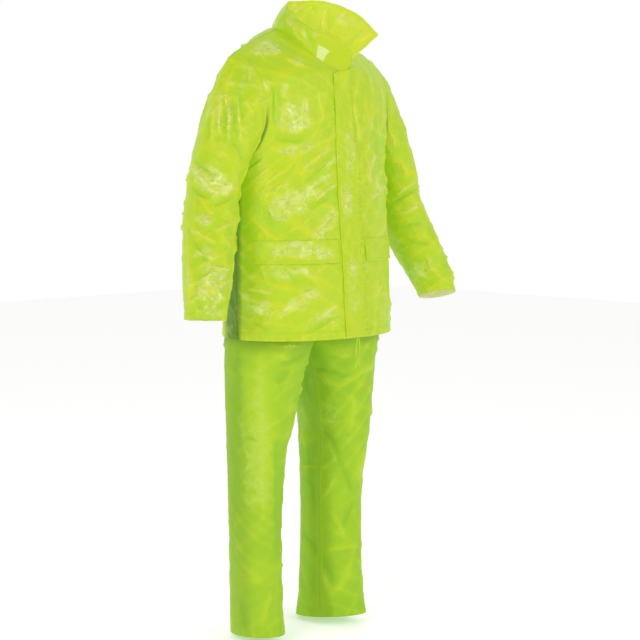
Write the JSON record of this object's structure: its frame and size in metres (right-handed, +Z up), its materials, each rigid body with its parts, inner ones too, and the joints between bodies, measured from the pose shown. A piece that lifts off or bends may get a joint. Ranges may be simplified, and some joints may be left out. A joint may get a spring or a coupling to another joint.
{
  "type": "rain suit, jacket and trousers",
  "caption": "Waterproof jacket with a stand collar, storm flap and pocket flaps over straight waterproof trousers, filled out as worn.",
  "frame": {"origin": "middle of the neck opening, level with the neck ends of the shoulder seams, where the wearer's shoulders hold the jacket up", "axes": "+Z up, the front faces -Y, the wearer's left is +X"},
  "size_m": [0.9074, 0.3509, 1.6025],
  "materials": {
    "jacket_cloth": "glossy coated cloth",
    "trouser_cloth": "glossy coated cloth",
    "mesh_lining": "open white mesh",
    "zip_tape": "woven tape",
    "cord": "braided cord"
  },
  "bodies": {
    "root": {"right_front": "jacket_cloth", "left_front": "jacket_cloth", "back": "jacket_cloth", "right_sleeve": "jacket_cloth", "left_sleeve": "jacket_cloth", "collar": "jacket_cloth", "storm_flap": "jacket_cloth", "right_pocket_flap": "jacket_cloth", "left_pocket_flap": "jacket_cloth", "right_leg": "trouser_cloth", "left_leg": "trouser_cloth", "waistband": "trouser_cloth", "back_lining": "mesh_lining", "front_zip": "zip_tape", "drawcord_right": "cord", "drawcord_left": "cord", "drawcord_right_tail": "cord", "drawcord_left_tail": "cord", "drawcord_knot": "cord"}
  },
  "joints": []
}
